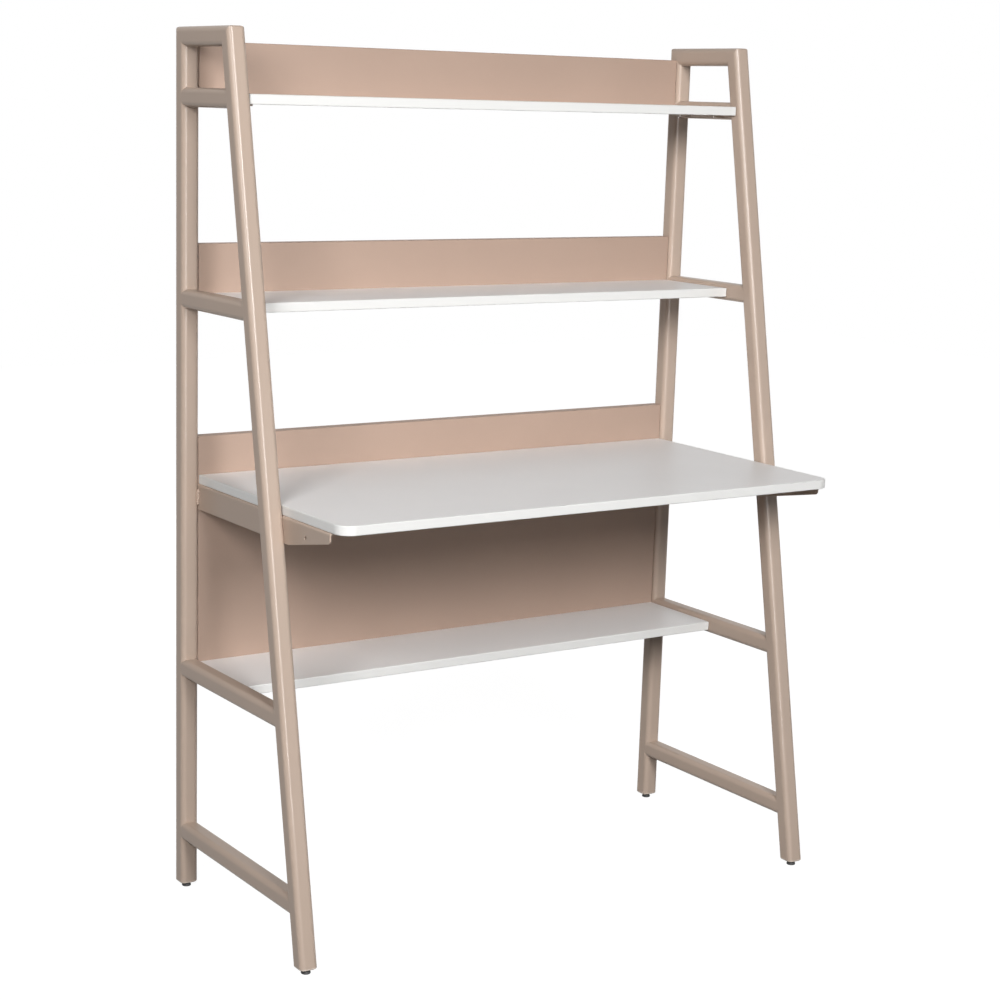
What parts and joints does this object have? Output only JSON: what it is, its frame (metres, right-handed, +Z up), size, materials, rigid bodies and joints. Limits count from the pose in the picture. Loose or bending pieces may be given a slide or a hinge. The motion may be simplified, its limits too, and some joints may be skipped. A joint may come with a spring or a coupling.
{
  "type": "ladder desk",
  "caption": "Freestanding ladder desk: leaning welded tube side frames carry a desktop with rounded front corners, shallow shelves and folded sheet back panels.",
  "frame": {"origin": "centre of the whole desk's footprint, on the floor under its levelling feet", "axes": "+X to the right seen from the front, -Y towards the person seated at the desk, +Z up"},
  "size_m": [1.06, 0.518, 1.4825],
  "materials": {
    "coated_steel": "semi-gloss taupe powder coat on welded steel tube and plate",
    "coated_panel": "matt rose-taupe powder coat on folded sheet steel",
    "leg_plug": "moulded plastic, coloured to match the frame",
    "board": "fibreboard core with a satin white laminate",
    "board_edging": "satin white edging strip with softened arrises",
    "foot_plastic": "black moulded plastic, semi-gloss",
    "zinc_plated": "bright zinc plating",
    "fastener_steel": "zinc-plated fastener steel"
  },
  "bodies": {
    "desk": {"bracket_welds": "coated_steel", "desk_back_panel": "coated_panel", "desk_back_panel_bolts": "fastener_steel", "desktop": "board", "desktop_edging": "board_edging", "desktop_screws": "fastener_steel", "front_left_leg_plug": "leg_plug", "front_right_leg_plug": "leg_plug", "left_desk_bracket": "coated_steel", "left_foot_rail": "coated_steel", "left_front_upright": "coated_steel", "left_lower_rail": "coated_steel", "left_middle_rail": "coated_steel", "left_rear_upright": "coated_steel", "left_top_rail": "coated_steel", "left_upper_rail": "coated_steel", "leg_nuts": "zinc_plated", "lower_shelf": "board", "lower_shelf_edging": "board_edging", "lower_shelf_screws": "fastener_steel", "lower_shelf_tabs": "coated_steel", "middle_back_panel": "coated_panel", "middle_back_panel_bolts": "fastener_steel", "middle_shelf": "board", "middle_shelf_edging": "board_edging", "middle_shelf_screws": "fastener_steel", "middle_shelf_tabs": "coated_steel", "rear_left_leg_plug": "leg_plug", "rear_right_leg_plug": "leg_plug", "right_desk_bracket": "coated_steel", "right_foot_rail": "coated_steel", "right_front_upright": "coated_steel", "right_lower_rail": "coated_steel", "right_middle_rail": "coated_steel", "right_rear_upright": "coated_steel", "right_top_rail": "coated_steel", "right_upper_rail": "coated_steel", "rivet_nuts": "zinc_plated", "upper_back_panel": "coated_panel", "upper_back_panel_bolts": "fastener_steel", "upper_shelf": "board", "upper_shelf_edging": "board_edging", "upper_shelf_screws": "fastener_steel", "upper_shelf_tabs": "coated_steel"},
    "rear_left_foot": {"rear_left_foot_pad": "foot_plastic"},
    "rear_left_stud": {"rear_left_foot_stud": "zinc_plated"},
    "rear_right_foot": {"rear_right_foot_pad": "foot_plastic"},
    "rear_right_stud": {"rear_right_foot_stud": "zinc_plated"},
    "front_left_foot": {"front_left_foot_pad": "foot_plastic"},
    "front_left_stud": {"front_left_foot_stud": "zinc_plated"},
    "front_right_foot": {"front_right_foot_pad": "foot_plastic"},
    "front_right_stud": {"front_right_foot_stud": "zinc_plated"}
  },
  "joints": [
    {"name": "rear_left_foot_height", "type": "slide", "parent": "desk", "child": "rear_left_foot", "axis": [0, 0, -1], "range_m": [-0.0025, 0.015]},
    {"name": "rear_left_foot_screw", "type": "hinge", "parent": "rear_left_foot", "child": "rear_left_stud", "pos_m": [-0.51413, 0.24313, 0.0021], "axis": [0, 0, -1], "range_deg": [-900, 5400]},
    {"name": "rear_right_foot_height", "type": "slide", "parent": "desk", "child": "rear_right_foot", "axis": [0, 0, -1], "range_m": [-0.0025, 0.015]},
    {"name": "rear_right_foot_screw", "type": "hinge", "parent": "rear_right_foot", "child": "rear_right_stud", "pos_m": [0.51413, 0.24313, 0.0021], "axis": [0, 0, -1], "range_deg": [-900, 5400]},
    {"name": "front_left_foot_height", "type": "slide", "parent": "desk", "child": "front_left_foot", "axis": [0, -0.1848, -0.9828], "range_m": [-0.0025, 0.015]},
    {"name": "front_left_foot_screw", "type": "hinge", "parent": "front_left_foot", "child": "front_left_stud", "pos_m": [-0.51413, -0.19663, 0.00269], "axis": [0, -0.1848, -0.9828], "range_deg": [-900, 5400]},
    {"name": "front_right_foot_height", "type": "slide", "parent": "desk", "child": "front_right_foot", "axis": [0, -0.1848, -0.9828], "range_m": [-0.0025, 0.015]},
    {"name": "front_right_foot_screw", "type": "hinge", "parent": "front_right_foot", "child": "front_right_stud", "pos_m": [0.51413, -0.19663, 0.00269], "axis": [0, -0.1848, -0.9828], "range_deg": [-900, 5400]}
  ],
  "couplings": [
    {"joint": "rear_left_foot_screw", "follows": "rear_left_foot_height", "rad_per_m": 6283.2},
    {"joint": "rear_right_foot_screw", "follows": "rear_right_foot_height", "rad_per_m": 6283.2},
    {"joint": "front_left_foot_screw", "follows": "front_left_foot_height", "rad_per_m": 6283.2},
    {"joint": "front_right_foot_screw", "follows": "front_right_foot_height", "rad_per_m": 6283.2}
  ]
}
